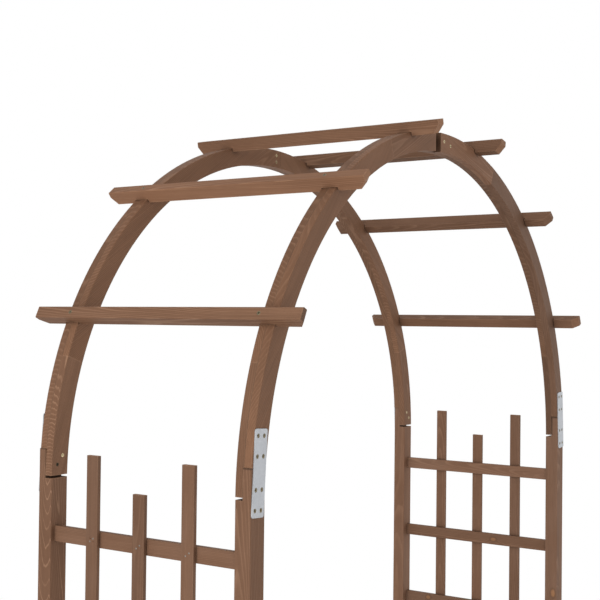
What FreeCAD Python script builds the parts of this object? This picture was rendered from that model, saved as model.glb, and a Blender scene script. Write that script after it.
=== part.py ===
import FreeCAD, Part
import Sketcher
import os
import re

# A garden arbor: two trellis side panels carry two round arches, and slats tie the arches together.
# X runs across the span, Y through the walkway with the front at -Y, Z up from the ground.
# Most pieces are made once for the front left corner and mirrored to the other corners.

Vector = FreeCAD.Vector
Rotation = FreeCAD.Rotation
Placement = FreeCAD.Placement

doc = FreeCAD.newDocument("garden_arbor")

# Driving sizes in millimetres and degrees: word, value, meaning.
SIZES = [
    ("span", 1500, "width over the posts"),
    ("depth", 515, "depth over the posts"),
    ("postWide", 44, "post section across the span"),
    ("postDeep", 34, "post section through the walkway, and the width of an arch"),
    ("postTall", 1507, "height to the top of the post tongues"),
    ("postRound", 2.5, "rounding of the posts' long edges"),
    ("archDrop", 62, "arch centre below the tops of the post tongues"),
    ("archThick", 44, "radial thickness of an arch"),
    ("archRound", 2, "rounding of the arches' long edges"),
    ("lapTall", 52, "overlap of a post tongue and an arch tongue"),
    ("lapGap", 5, "open joint under an arch tongue"),
    ("crownLap", 60, "overlap of the two halves of an arch at the top"),
    ("crownGapFront", 24, "open joint in the outer layer of the front arch"),
    ("crownGapRear", 1, "open joint in the outer layer of the rear arch"),
    ("crownFit", 1, "open joint in the inner layers at the top"),
    ("outerSeam", 20.5, "angle from the top to the glued seam of an outer layer"),
    ("innerSeam", 71, "angle from the top to the glued seam of an inner layer"),
    ("slatLong", 650, "length of a roof slat"),
    ("slatWide", 25, "slat section along the arch"),
    ("slatThick", 30, "slat section across the arch"),
    ("slatRound", 2, "rounding of a slat's upper long edges"),
    ("slatHousing", 8, "depth that a slat drops over the arches"),
    ("housingFit", 1.5, "play at each side of an arch in a slat's housing"),
    ("housingSeat", 0.2, "play above an arch in a slat's housing"),
    ("slatFirst", 12.5, "angle from the top to the first slat"),
    ("slatStep", 26, "angle from one slat to the next"),
    ("slatNose", 14, "length of the chamfer under a slat's end"),
    ("slatCheek", 18, "height of that chamfer"),
    ("railTall", 31, "height of a panel rail"),
    ("railThick", 12, "thickness of a panel rail"),
    ("railRound", 1.5, "rounding of a rail's long edges"),
    ("railInset", 11, "rail face behind the posts' outer faces"),
    ("railDrop", 150, "top rail below the tops of the post tongues"),
    ("railFoot", 126, "lowest rail above the ground"),
    ("tenonLong", 12, "length of a rail's tenons"),
    ("tenonTall", 20, "height of a rail's tenons"),
    ("tenonThick", 8, "thickness of a rail's tenons"),
    ("tenonFit", 0.25, "play around a tenon in its mortise"),
    ("paleWide", 29, "width of an upright pale"),
    ("paleThick", 9, "thickness of an upright pale"),
    ("paleRound", 1.2, "rounding of a pale's long edges"),
    ("palePitch", 117, "distance from one pale to the next"),
    ("paleDrop", 5, "outer pales below the tops of the post tongues"),
    ("paleFoot", 45, "outer pales above the ground"),
    ("middleDrop", 69, "middle pales below the tops of the post tongues"),
    ("middleFoot", 95, "middle pales above the ground"),
    ("plateLong", 155, "length of a mending plate"),
    ("plateWide", 36, "width of a mending plate"),
    ("plateThick", 2, "thickness of a mending plate"),
    ("plateCorner", 4, "corner radius of a mending plate"),
    ("plateDrop", 10, "plate centre below the tops of the post tongues"),
    ("plateInset", 24, "plate centre behind the posts' outer faces"),
    ("plateLean", 3.5, "lean of a plate towards the span"),
    ("plateRowFar", 65, "outer screw rows from the plate's centre"),
    ("plateRowNear", 29, "inner screw rows from the plate's centre"),
    ("plateColumn", 9, "screw columns from the plate's centre"),
    ("plateScrewHead", 8.5, "head diameter of a plate screw"),
    ("plateScrewShank", 4, "shank diameter of a plate screw"),
    ("plateScrewLong", 16, "length of a plate screw"),
    ("lapScrewHead", 7.5, "head diameter of a lap screw"),
    ("lapScrewShank", 4, "shank diameter of a lap screw"),
    ("lapScrewLong", 30, "length of a lap screw"),
    ("lapScrewSink", 2.2, "height of a lap screw's head"),
    ("lapUpperDrop", 14, "upper post lap screw below the top of the tongue"),
    ("lapUpperInset", 30, "upper post lap screw behind the post's outer face"),
    ("lapLowerDrop", 31, "lower post lap screw below the top of the tongue"),
    ("lapLowerInset", 16, "lower post lap screw behind the post's outer face"),
    ("crownScrewStep", 16, "outer crown screws from the middle of the outer pair"),
    ("crownScrewShift", 4, "middle of the outer pair, right of the overlap's middle"),
    ("crownScrewRise", 3, "outer crown screws above and below the arch's middle line"),
    ("crownEndBack", 17, "inner crown screws from the end of their tongue"),
    ("crownEndRise", 8, "inner crown screws above and below the arch's middle line"),
    ("slatScrewHead", 8, "head diameter of a slat screw"),
    ("slatScrewShank", 4.5, "shank diameter of a slat screw"),
    ("slatScrewLong", 45, "length of a slat screw"),
    ("slatScrewSink", 2.4, "height of a slat screw's head"),
    ("nailHead", 3.4, "head diameter of a brad"),
    ("nailShank", 1.6, "shank diameter of a brad"),
    ("nailLong", 18, "length of a brad"),
    ("nailSink", 1, "height of a brad's head"),
    ("nailSide", 4, "brads from the pale's middle line"),
    ("nailRise", 3, "brads from the rail's middle line"),
    ("boreFit", 0.15, "play around a fastener in its hole"),
]

RAIL_COUNT = 7
SLAT_COUNT = 3
WORDS = [row[0] for row in SIZES]

sheet = doc.addObject("Spreadsheet::Sheet", "dims")
for number, (word, value, meaning) in enumerate(SIZES, start=1):
    sheet.set(f"A{number}", meaning)
    sheet.set(f"B{number}", str(value))
    sheet.setAlias(f"B{number}", word)
doc.recompute()

# Places that several pieces share, as formulas of the driving sizes.
POST_FACE = "-span/2"
FRONT_FACE = "-depth/2"
BACK_FACE = "(-depth/2 + postDeep)"
LAYER_PLANE = "(-depth/2 + postDeep/2)"
ARCH_CENTRE = "(postTall - archDrop)"
ARCH_OUTER = "(span/2)"
ARCH_MIDDLE = "(span/2 - archThick/2)"
ARCH_INNER = "(span/2 - archThick)"
TONGUE_END = "(postTall - lapTall)"
CROWN_LEFT = "(-crownLap/2)"
CROWN_RIGHT = "(crownLap/2)"
RAIL_FACE = "(-span/2 + railInset)"
PALE_FACE = "(-span/2 + railInset - paleThick)"
PLATE_X = "(-span/2 + plateInset)"
PLATE_Z = "(postTall - plateDrop)"
SLAT_TOP = "(span/2 - slatHousing + slatThick)"
SLAT_UNDER = "(span/2 - slatHousing)"
HOUSING_FLOOR = "(span/2 + housingSeat)"
HOUSING_FAR = "(depth/2 + housingFit)"
HOUSING_NEAR = "(depth/2 - postDeep - housingFit)"

# Turns that point a rod's own axis another way, and the mirror planes.
DOWN = Rotation(Vector(1, 0, 0), 180)
BACKWARD = Rotation(Vector(1, 0, 0), -90)
FORWARD = Rotation(Vector(1, 0, 0), 90)
RIGHTWARD = Rotation(Vector(0, 1, 0), 90)
ACROSS_SPAN = Vector(1, 0, 0)
ACROSS_DEPTH = Vector(0, 1, 0)
LEAN_LEFT = Vector(0, -1, 0)
LEAN_RIGHT = Vector(0, 1, 0)


def formula(text):
    """The same formula with each size read from the sheet."""
    def from_sheet(found):
        word = found.group()
        return "dims." + word if word in WORDS else word
    return re.sub("[A-Za-z]+", from_sheet, text)


def bind(item, target, text):
    item.setExpression(target, formula(text))


def bind_base(item, corner):
    for axis, text in zip("xyz", corner):
        bind(item, ".Placement.Base." + axis, text)


def bind_lean(item, axis, angle):
    """Turn an item about an axis by a formula; the first turn only fixes the axis."""
    item.Placement = Placement(Vector(), Rotation(axis, 1))
    bind(item, ".Placement.Rotation.Angle", angle)


def block(name, size, corner):
    item = doc.addObject("Part::Box", name)
    for side, text in zip(("Length", "Width", "Height"), size):
        bind(item, side, text)
    bind_base(item, corner)
    return item


def rod(name, radius, length, start, turn):
    item = doc.addObject("Part::Cylinder", name)
    item.Placement = Placement(Vector(), turn)
    bind(item, "Radius", radius)
    bind(item, "Height", length)
    bind_base(item, start)
    return item


def taper(name, wide, narrow, length, start, turn):
    item = doc.addObject("Part::Cone", name)
    item.Placement = Placement(Vector(), turn)
    bind(item, "Radius1", wide)
    bind(item, "Radius2", narrow)
    bind(item, "Height", length)
    bind_base(item, start)
    return item


def joined(kind, name, items):
    item = doc.addObject(kind, name)
    if kind == "Part::Compound":
        item.Links = items
    else:
        item.Shapes = items
    return item


def cut(name, base, tools):
    """The base without the tools, which don't meet each other."""
    item = doc.addObject("Part::Cut", name)
    item.Base = base
    item.Tool = tools[0] if len(tools) == 1 else joined("Part::Compound", name + "_tools", tools)
    return item


def mirrored(name, source, normal):
    item = doc.addObject("Part::Mirroring", name)
    item.Source = source
    item.Base = Vector()
    item.Normal = normal
    return item


def runs_along(direction):
    def wanted(edge):
        if not isinstance(edge.Curve, Part.Line):
            return False
        return edge.Curve.Direction.cross(direction).Length < 1e-6
    return wanted


def is_round(edge):
    return isinstance(edge.Curve, Part.Circle)


def rounded(name, base, radius, wanted):
    """The base with its wanted edges rounded by a size from the sheet."""
    doc.recompute()
    item = doc.addObject("Part::Fillet", name)
    item.Base = base
    size = getattr(sheet, radius)
    item.Edges = [(place, size, size) for place, edge in enumerate(base.Shape.Edges, start=1) if wanted(edge)]
    return item


def bore(name, kind, start, turn):
    """A screw hole: the rod for the shank and, apart from it, the taper for the head."""
    sink = "plateThick" if kind == "plateScrew" else kind + "Sink"
    shank = f"{kind}Shank/2 + boreFit"
    head = f"{kind}Head/2 + boreFit"
    hole = rod(name + "_shank", shank, f"{kind}Long + boreFit", start, turn)
    mouth = taper(name + "_head", head, shank, sink, start, turn)
    return hole, mouth


def shanks(bores):
    return [hole for hole, mouth in bores]


def heads(bores):
    return [mouth for hole, mouth in bores]


def drilled(name, base, holes, mouths):
    """The base with the shank holes and the head recesses, cut one set after the other."""
    item = cut(name, base, holes)
    if mouths:
        item = cut(name + "_sunk", item, mouths)
    return item


nodes = {}


def keep(label, item):
    nodes[label] = item
    return item


# Screw holes of the front left corner.
plate_bores = []
for row_name, row in (("top", "plateRowFar"), ("high", "plateRowNear"),
                      ("low", "-plateRowNear"), ("foot", "-plateRowFar")):
    for column_name, column in (("outer", "-plateColumn"), ("inner", "plateColumn")):
        hole_x = f"{PLATE_X} + ({row})*sin(plateLean*1deg) + ({column})*cos(plateLean*1deg)"
        hole_z = f"{PLATE_Z} + ({row})*cos(plateLean*1deg) - ({column})*sin(plateLean*1deg)"
        start = (hole_x, f"{FRONT_FACE} - plateThick", hole_z)
        plate_bores.append(bore(f"plate_bore_{row_name}_{column_name}", "plateScrew", start, BACKWARD))
SCREWS_IN_ARCH = 4

lap_bores = []
for name in ("Upper", "Lower"):
    start = (f"{POST_FACE} + lap{name}Inset", BACK_FACE, f"postTall - lap{name}Drop")
    lap_bores.append(bore(f"lap_bore_{name}", "lapScrew", start, FORWARD))

crown_outer_bores = []
for name, sign in (("left", "-"), ("right", "")):
    hole_x = f"crownScrewShift + ({sign}crownScrewStep)"
    hole_z = f"{ARCH_CENTRE} + {ARCH_MIDDLE} - ({sign}crownScrewRise)"
    crown_outer_bores.append(bore(f"crown_bore_{name}", "lapScrew", (hole_x, FRONT_FACE, hole_z), BACKWARD))

crown_inner_bores = []
for name, sign in (("high", ""), ("low", "-")):
    hole_z = f"{ARCH_CENTRE} + {ARCH_MIDDLE} + ({sign}crownEndRise)"
    start = (f"{CROWN_RIGHT} - crownEndBack", BACK_FACE, hole_z)
    crown_inner_bores.append(bore(f"crown_bore_{name}", "lapScrew", start, FORWARD))

# Posts: a square timber, halved at its top into a tongue, with a mortise for each rail.
rail_pitch = f"(postTall - railDrop - railTall - railFoot)/{RAIL_COUNT - 1}"
rail_bottoms = [f"(railFoot + {place}*{rail_pitch})" for place in reversed(range(RAIL_COUNT))]
tenon_x = f"{RAIL_FACE} + (railThick - tenonThick)/2"
tenon_rise = "(railTall - tenonTall)/2"

post_timber = block("post_timber", ("postWide", "postDeep", "postTall"), (POST_FACE, FRONT_FACE, "0"))
post_round = rounded("post_round", post_timber, "postRound", runs_along(Vector(0, 0, 1)))
tongue_room = block("tongue_room", ("postWide", "postDeep/2", "lapTall + lapGap"),
                    (POST_FACE, LAYER_PLANE, f"{TONGUE_END} - lapGap"))
post_room = [tongue_room]
for place, bottom in enumerate(rail_bottoms, start=1):
    size = ("tenonThick + 2*tenonFit", "tenonLong + tenonFit", "tenonTall + 2*tenonFit")
    mortise_y = f"{BACK_FACE} - tenonLong - tenonFit"
    corner = (f"{tenon_x} - tenonFit", mortise_y, f"{bottom} + {tenon_rise} - tenonFit")
    post_room.append(block(f"mortise_{place}", size, corner))
post_halved = cut("post_halved", post_round, post_room)
post_shanks = shanks(plate_bores[SCREWS_IN_ARCH:] + lap_bores)

post = keep("post_front_left", cut("post", post_halved, post_shanks))
keep("post_front_right", mirrored("post_right", post, ACROSS_SPAN))
post_rear = keep("post_rear_left", mirrored("post_rear", post, ACROSS_DEPTH))
keep("post_rear_right", mirrored("post_rear_right", post_rear, ACROSS_SPAN))

# Arches: a ring with rounded edges, split into two glued layers and cut into boards.
ring_disc = rod("ring_disc", ARCH_OUTER, "postDeep", ("0", FRONT_FACE, ARCH_CENTRE), BACKWARD)
ring_core = rod("ring_core", ARCH_INNER, "depth", ("0", "-depth", ARCH_CENTRE), BACKWARD)
ring = rounded("ring", cut("ring_plain", ring_disc, [ring_core]), "archRound", is_round)


def quadrant(name, angle):
    """A quarter space about the arch axis, from 90 degrees before the angle up to it, towards the left."""
    item = block(name, ("span", "2*depth", "span"), ("0", "-depth", ARCH_CENTRE))
    bind_lean(item, LEAN_LEFT, angle)
    return item


def layer_space(name, layer, low_x, high_x, low_z):
    """The space of one layer between two places across the span and above a height."""
    low_y = FRONT_FACE + " - postDeep" if layer == "outer" else LAYER_PLANE
    size = (f"{high_x} - ({low_x})", "3*postDeep/2", f"span + postTall - ({low_z})")
    return block(name, size, (low_x, low_y, low_z))


def radial_rod(name, angle, axis, sign):
    """A slat screw's hole in an arch, on the arch's radius at an angle from the top."""
    foot = f"({SLAT_TOP} - slatScrewLong - boreFit)"
    item = doc.addObject("Part::Cylinder", name)
    bind(item, "Radius", "slatScrewShank/2 + boreFit")
    bind(item, "Height", "slatScrewLong + boreFit")
    bind_lean(item, axis, angle)
    bind_base(item, (f"{sign}{foot}*sin({angle}*1deg)", f"({LAYER_PLANE} + {BACK_FACE})/2",
                     f"{ARCH_CENTRE} + {foot}*cos({angle}*1deg)"))
    return item


slat_angles = [f"(slatFirst + {place}*slatStep)" for place in range(SLAT_COUNT)]
far_left = "-span"
far_right = "span"

outer_lower_body = joined("Part::MultiCommon", "outer_lower_body", [
    ring,
    quadrant("outer_seam_below", "outerSeam + 90"),
    layer_space("outer_lower_space", "outer", far_left, "0", "postTall"),
])
outer_lower = drilled("outer_lower", outer_lower_body, shanks(plate_bores[:SCREWS_IN_ARCH]), [])

inner_lower_body = joined("Part::MultiCommon", "inner_lower_body", [
    ring,
    quadrant("inner_seam_below", "innerSeam + 90"),
    layer_space("inner_lower_space", "inner", far_left, "0", TONGUE_END),
])
inner_lower = drilled("inner_lower", inner_lower_body,
                      shanks(lap_bores), heads(lap_bores))

for layer, piece in (("outer", outer_lower), ("inner", inner_lower)):
    keep(f"arch_front_left_{layer}_lower", piece)
    keep(f"arch_front_right_{layer}_lower", mirrored(f"{layer}_lower_right", piece, ACROSS_SPAN))
    rear = keep(f"arch_rear_left_{layer}_lower", mirrored(f"{layer}_lower_rear", piece, ACROSS_DEPTH))
    keep(f"arch_rear_right_{layer}_lower", mirrored(f"{layer}_lower_rear_right", rear, ACROSS_SPAN))

crown_shanks = shanks(crown_outer_bores + crown_inner_bores)
outer_mouths = heads(crown_outer_bores)
inner_mouths = heads(crown_inner_bores)
above = quadrant("outer_seam_above", "outerSeam")


def outer_upper_left(name, gap):
    return joined("Part::MultiCommon", name, [
        ring, above, layer_space(name + "_space", "outer", far_left, f"{CROWN_LEFT} - {gap}", ARCH_CENTRE)])


keep("arch_front_left_outer_upper", outer_upper_left("outer_upper_front", "crownGapFront"))
left_rear = outer_upper_left("outer_upper_rear", "crownGapRear")
keep("arch_rear_left_outer_upper", mirrored("outer_upper_rear_left", left_rear, ACROSS_DEPTH))

outer_upper_right = joined("Part::MultiCommon", "outer_upper_right_body", [
    ring,
    quadrant("outer_seam_right", "90 - outerSeam"),
    layer_space("outer_upper_right_space", "outer", CROWN_LEFT, far_right, ARCH_CENTRE),
])
outer_upper_right = drilled("outer_upper_right", outer_upper_right, crown_shanks, outer_mouths)
keep("arch_front_right_outer_upper", outer_upper_right)
keep("arch_rear_right_outer_upper", mirrored("outer_upper_rear_right", outer_upper_right, ACROSS_DEPTH))

left_rods = [radial_rod(f"slat_bore_left_{place}", angle, LEAN_LEFT, "-")
             for place, angle in enumerate(slat_angles, start=1)]
inner_upper_left = joined("Part::MultiCommon", "inner_upper_left_body", [
    ring,
    quadrant("inner_seam_left", "innerSeam"),
    layer_space("inner_upper_left_space", "inner", far_left, CROWN_RIGHT, ARCH_CENTRE),
])
inner_upper_left = drilled("inner_upper_left", inner_upper_left, crown_shanks + left_rods, inner_mouths)
keep("arch_front_left_inner_upper", inner_upper_left)
keep("arch_rear_left_inner_upper", mirrored("inner_upper_rear_left", inner_upper_left, ACROSS_DEPTH))

right_rods = [radial_rod(f"slat_bore_right_{place}", angle, LEAN_RIGHT, "")
              for place, angle in enumerate(slat_angles, start=1)]
inner_upper_right = joined("Part::MultiCommon", "inner_upper_right_body", [
    ring,
    quadrant("inner_seam_right", "90 - innerSeam"),
    layer_space("inner_upper_right_space", "inner", f"{CROWN_RIGHT} + crownFit", far_right, ARCH_CENTRE),
])
inner_upper_right = drilled("inner_upper_right", inner_upper_right, right_rods, [])
keep("arch_front_right_inner_upper", inner_upper_right)
keep("arch_rear_right_inner_upper", mirrored("inner_upper_rear_right", inner_upper_right, ACROSS_DEPTH))

# Slats: one side profile with the housings and chamfered ends, drawn about the arch axis.
slat_body = doc.addObject("PartDesign::Body", "slat_body")
slat_sketch = slat_body.newObject("Sketcher::SketchObject", "slat_sketch")
side_plane = [plane for plane in slat_body.Origin.OriginFeatures if plane.Role == "YZ_Plane"][0]
slat_sketch.AttachmentSupport = [(side_plane, "")]
slat_sketch.MapMode = "FlatFace"
END_NOSE = "(slatLong/2 - slatNose)"
CHEEK_TOP = f"({SLAT_UNDER} + slatCheek)"
half_profile = [
    ("slatLong/2", SLAT_TOP),
    ("slatLong/2", CHEEK_TOP),
    (END_NOSE, SLAT_UNDER),
    (HOUSING_FAR, SLAT_UNDER),
    (HOUSING_FAR, HOUSING_FLOOR),
    (HOUSING_NEAR, HOUSING_FLOOR),
    (HOUSING_NEAR, SLAT_UNDER),
]
profile = [(1, along, height) for along, height in half_profile]
profile += [(-1, along, height) for along, height in reversed(half_profile)]


# A free cell to work a formula out in, and the names that a sketch gives its origin and a line's ends.
PROBE = f"C{len(SIZES) + 1}"
ORIGIN = (-1, 1)
START = 1
END = 2


def size_of(text):
    """The present value of a formula, to draw the first outline with."""
    sheet.set(PROBE, "=" + text)
    sheet.recompute()
    value = float(sheet.get(PROBE))
    sheet.clear(PROBE)
    return value


points = [Vector(side * size_of(along), size_of(height), 0) for side, along, height in profile]
for place, point in enumerate(points):
    slat_sketch.addGeometry(Part.LineSegment(point, points[(place + 1) % len(points)]), False)
for place, (side, along, height) in enumerate(profile):
    slat_sketch.addConstraint(Sketcher.Constraint("Coincident", place, END, (place + 1) % len(points), START))
    reach = ORIGIN + (place, START) if side > 0 else (place, START) + ORIGIN
    reach_x = Sketcher.Constraint("DistanceX", *reach, abs(points[place].x))
    reach_y = Sketcher.Constraint("DistanceY", *ORIGIN, place, START, points[place].y)
    for limit, text in ((reach_x, along), (reach_y, height)):
        number = slat_sketch.addConstraint(limit)
        bind(slat_sketch, f"Constraints[{number}]", text)

slat_pad = slat_body.newObject("PartDesign::Pad", "slat_pad")
slat_pad.Profile = slat_sketch
slat_pad.SideType = "Symmetric"
bind(slat_pad, "Length", "slatWide")
doc.recompute()


def is_upper_edge(edge):
    """A long edge of the slat's outer face."""
    near_top = size_of(SLAT_TOP) - sheet.slatRound
    return runs_along(Vector(0, 1, 0))(edge) and edge.BoundBox.ZMin > near_top


slat_round = slat_body.newObject("PartDesign::Fillet", "slat_round")
slat_edges = enumerate(slat_pad.Shape.Edges, start=1)
slat_round.Base = (slat_pad, [f"Edge{place}" for place, edge in slat_edges if is_upper_edge(edge)])
bind(slat_round, "Radius", "slatRound")
slat_body.Tip = slat_round

slat_bores = []
for name, sign in (("front", "-"), ("rear", "")):
    start = ("0", f"{sign}(depth/2 - 3*postDeep/4)", SLAT_TOP)
    slat_bores.append(bore(f"slat_bore_{name}", "slatScrew", start, DOWN))

slats = []
for side, axis in (("left", LEAN_LEFT), ("right", LEAN_RIGHT)):
    for height, angle in zip(("top", "middle", "low"), slat_angles):
        slat = drilled(f"slat_{side}_{height}", slat_body,
                       shanks(slat_bores), heads(slat_bores))
        bind_lean(slat, axis, angle)
        bind(slat, ".Placement.Base.z", ARCH_CENTRE)
        slats.append(keep(f"slat_{side}_{height}", slat))

# Panel rails with stub tenons, and the pales nailed to their outer faces.
pale_lines = (("front", "-palePitch", "-"), ("middle", "0", "-"), ("rear", "palePitch", ""))
PALE_ENDS = {"front": ("paleFoot", "paleDrop"), "middle": ("middleFoot", "middleDrop")}
nail_bores = {"front": [], "middle": [], "rear": []}

for place, bottom in enumerate(rail_bottoms, start=1):
    for line, across, slope in pale_lines:
        for name, sign in (("low", "-"), ("high", "")):
            hole_y = f"{across} + ({sign}1)*({slope}nailSide)"
            hole_z = f"{bottom} + railTall/2 + ({sign}nailRise)"
            nail_bores[line].append(bore(f"nail_bore_{line}_{place}_{name}", "nail",
                                         (PALE_FACE, hole_y, hole_z), RIGHTWARD))

BRADS_PER_RAIL = 2
for place, bottom in enumerate(rail_bottoms, start=1):
    size = ("railThick", "depth - 2*postDeep", "railTall")
    timber = block(f"rail_timber_{place}", size, (RAIL_FACE, BACK_FACE, bottom))
    timber = rounded(f"rail_round_{place}", timber, "railRound", runs_along(Vector(0, 1, 0)))
    tenon = block(f"rail_tenon_{place}", ("tenonThick", "depth - 2*postDeep + 2*tenonLong", "tenonTall"),
                  (tenon_x, f"{BACK_FACE} - tenonLong", f"{bottom} + {tenon_rise}"))
    timber = joined("Part::MultiFuse", f"rail_tenoned_{place}", [timber, tenon])
    first = (place - 1) * BRADS_PER_RAIL
    holes = []
    for line in nail_bores:
        holes += shanks(nail_bores[line][first:first + BRADS_PER_RAIL])
    rail = keep(f"rail_left_{place}", cut(f"rail_{place}", timber, holes))
    keep(f"rail_right_{place}", mirrored(f"rail_right_{place}", rail, ACROSS_SPAN))

for line, across, slope in pale_lines[:2]:
    foot, drop = PALE_ENDS[line]
    timber = block(f"pale_timber_{line}", ("paleThick", "paleWide", f"postTall - {drop} - {foot}"),
                   (PALE_FACE, f"{across} - paleWide/2", foot))
    timber = rounded(f"pale_round_{line}", timber, "paleRound", runs_along(Vector(0, 0, 1)))
    pale = drilled(f"pale_{line}", timber,
                   shanks(nail_bores[line]), heads(nail_bores[line]))
    keep(f"pale_left_{line}", pale)
    keep(f"pale_right_{line}", mirrored(f"pale_right_{line}", pale, ACROSS_SPAN))
pale_rear = keep("pale_left_rear", mirrored("pale_rear", nodes["pale_left_front"], ACROSS_DEPTH))
keep("pale_right_rear", mirrored("pale_right_rear", pale_rear, ACROSS_SPAN))

# Mending plates over the joints of posts and arches.
plate_x = f"{PLATE_X} - plateLong/2*sin(plateLean*1deg) - plateWide/2*cos(plateLean*1deg)"
plate_z = f"{PLATE_Z} - plateLong/2*cos(plateLean*1deg) + plateWide/2*sin(plateLean*1deg)"
plate_blank = block("plate_blank", ("plateWide", "plateThick", "plateLong"),
                    (plate_x, f"{FRONT_FACE} - plateThick", plate_z))
bind_lean(plate_blank, LEAN_RIGHT, "plateLean")
plate_round = rounded("plate_round", plate_blank, "plateCorner", runs_along(Vector(0, 1, 0)))
plate = drilled("plate", plate_round,
                shanks(plate_bores), heads(plate_bores))
keep("plate_front_left", plate)
keep("plate_front_right", mirrored("plate_right", plate, ACROSS_SPAN))
plate_rear = keep("plate_rear_left", mirrored("plate_rear", plate, ACROSS_DEPTH))
keep("plate_rear_right", mirrored("plate_rear_right", plate_rear, ACROSS_SPAN))
doc.recompute()


# Fasteners: one turned solid for each hole, in one group for each kind.
def fastener(kind):
    """A countersunk screw or brad along +Z with its head's flat top at the origin."""
    head = getattr(sheet, kind + "Head") / 2
    shank = getattr(sheet, kind + "Shank") / 2
    length = getattr(sheet, kind + "Long")
    sink = sheet.plateThick if kind == "plateScrew" else getattr(sheet, kind + "Sink")
    point = 2 * shank
    outline = [(0, 0), (head, 0), (shank, sink), (shank, length - point), (0, length), (0, 0)]
    wire = Part.makePolygon([Vector(radius, 0, height) for radius, height in outline])
    return Part.Face(wire).revolve(Vector(), Vector(0, 0, 1), 360)


def turned(kind, places):
    solids = []
    for place in places:
        solid = fastener(kind).copy()
        solid.Placement = place
        solids.append(solid)
    return solids


def with_mirror(solids, normal):
    return solids + [solid.mirror(Vector(), normal) for solid in solids]


def places_of(bores):
    return [hole.Placement for hole, mouth in bores]


plate_screws = turned("plateScrew", places_of(plate_bores))
post_lap_screws = turned("lapScrew", places_of(lap_bores))
crown_screws = turned("lapScrew", places_of(crown_outer_bores + crown_inner_bores))
slat_places = [slat.Placement * place for slat in slats for place in places_of(slat_bores)]
outer_nails = with_mirror(turned("nail", places_of(nail_bores["front"])), ACROSS_DEPTH)
middle_nails = turned("nail", places_of(nail_bores["middle"]))

GROUPS = {
    "plate_screws": with_mirror(with_mirror(plate_screws, ACROSS_SPAN), ACROSS_DEPTH),
    "post_lap_screws": with_mirror(with_mirror(post_lap_screws, ACROSS_SPAN), ACROSS_DEPTH),
    "crown_lap_screws": with_mirror(crown_screws, ACROSS_DEPTH),
    "slat_screws": turned("slatScrew", slat_places),
    "pale_nails": with_mirror(outer_nails + middle_nails, ACROSS_SPAN),
}
for label, solids in GROUPS.items():
    group = doc.addObject("Part::Feature", label)
    group.Shape = Part.makeCompound(solids)
    group.Placement = Placement()
    keep(label, group)
doc.recompute()

# Nothing is written unless every object and every piece is sound.
for item in doc.Objects:
    if "Invalid" in item.State or "Error" in item.State:
        raise RuntimeError(f"{item.Name} failed: {item.State}")
for label, item in nodes.items():
    item.Label = label
    expected = len(GROUPS[label]) if label in GROUPS else 1
    if item.Shape.isNull() or not item.Shape.isValid():
        raise RuntimeError(f"{label} has no sound shape")
    if len(item.Shape.Solids) != expected:
        raise RuntimeError(f"{label} has {len(item.Shape.Solids)} solids, not {expected}")

os.makedirs("parts", exist_ok=True)
for label, item in nodes.items():
    item.Shape.exportStep(f"parts/{label}.step")
    print(f"{label}: {len(item.Shape.Solids)} solids, {item.Shape.Volume / 1000:.1f} cm3")
print(len(nodes), "nodes written")
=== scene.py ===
import math
import random

import bmesh
import bpy
from mathutils import Matrix, Vector


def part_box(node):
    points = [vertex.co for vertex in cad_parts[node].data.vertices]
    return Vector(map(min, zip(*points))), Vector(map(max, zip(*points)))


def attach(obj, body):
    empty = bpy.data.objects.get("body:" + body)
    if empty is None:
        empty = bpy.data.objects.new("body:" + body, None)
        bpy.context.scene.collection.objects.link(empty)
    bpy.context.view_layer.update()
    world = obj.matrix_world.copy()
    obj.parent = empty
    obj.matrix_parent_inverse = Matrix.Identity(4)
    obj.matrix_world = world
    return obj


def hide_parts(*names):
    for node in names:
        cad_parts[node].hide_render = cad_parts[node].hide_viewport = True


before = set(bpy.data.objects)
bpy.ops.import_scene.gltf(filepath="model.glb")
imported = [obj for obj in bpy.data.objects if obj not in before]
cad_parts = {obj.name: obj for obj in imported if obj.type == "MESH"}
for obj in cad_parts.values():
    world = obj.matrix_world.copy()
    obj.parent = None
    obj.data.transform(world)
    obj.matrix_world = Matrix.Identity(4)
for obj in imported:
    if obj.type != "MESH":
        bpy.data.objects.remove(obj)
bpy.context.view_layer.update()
scene = bpy.context.scene
scene.view_settings.view_transform = "Standard"
print("frame loaded:", len(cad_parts), "pieces")

# camera
cameraView = {
    "place": (-2.3772, -1.4293, 1.7610),
    "yaw": 56.58,        # degrees from the walkway towards the right
    "pitch": 0.0195,     # radians, upwards
    "roll": 0.0110,
    "focalPixels": 1154.4,
    "framePixels": 600,
    "sensor": 36.0,
    "farClip": 300,
}


def placeCamera(view):
    yaw = math.radians(view["yaw"])
    level = math.cos(view["pitch"])
    forward = Vector((math.sin(yaw) * level, math.cos(yaw) * level, math.sin(view["pitch"])))
    side = forward.cross(Vector((0, 0, 1))).normalized()
    up = side.cross(forward)
    turn = view["roll"]
    tiltedSide = side * math.cos(turn) + up * math.sin(turn)
    tiltedUp = up * math.cos(turn) - side * math.sin(turn)
    data = bpy.data.cameras.new("photoCamera")
    data.sensor_width = view["sensor"]
    data.lens = view["focalPixels"] * view["sensor"] / view["framePixels"]
    data.clip_end = view["farClip"]
    camera = bpy.data.objects.new("photoCamera", data)
    axes = Matrix((tiltedSide, tiltedUp, -forward)).transposed()
    camera.matrix_world = Matrix.Translation(view["place"]) @ axes.to_4x4()
    scene.collection.objects.link(camera)
    scene.camera = camera


placeCamera(cameraView)
print("camera placed")


# node helpers: values and sockets are given alike
def feed(tree, socket, value):
    if isinstance(value, bpy.types.NodeSocket):
        tree.links.new(value, socket)
    else:
        socket.default_value = value


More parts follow.
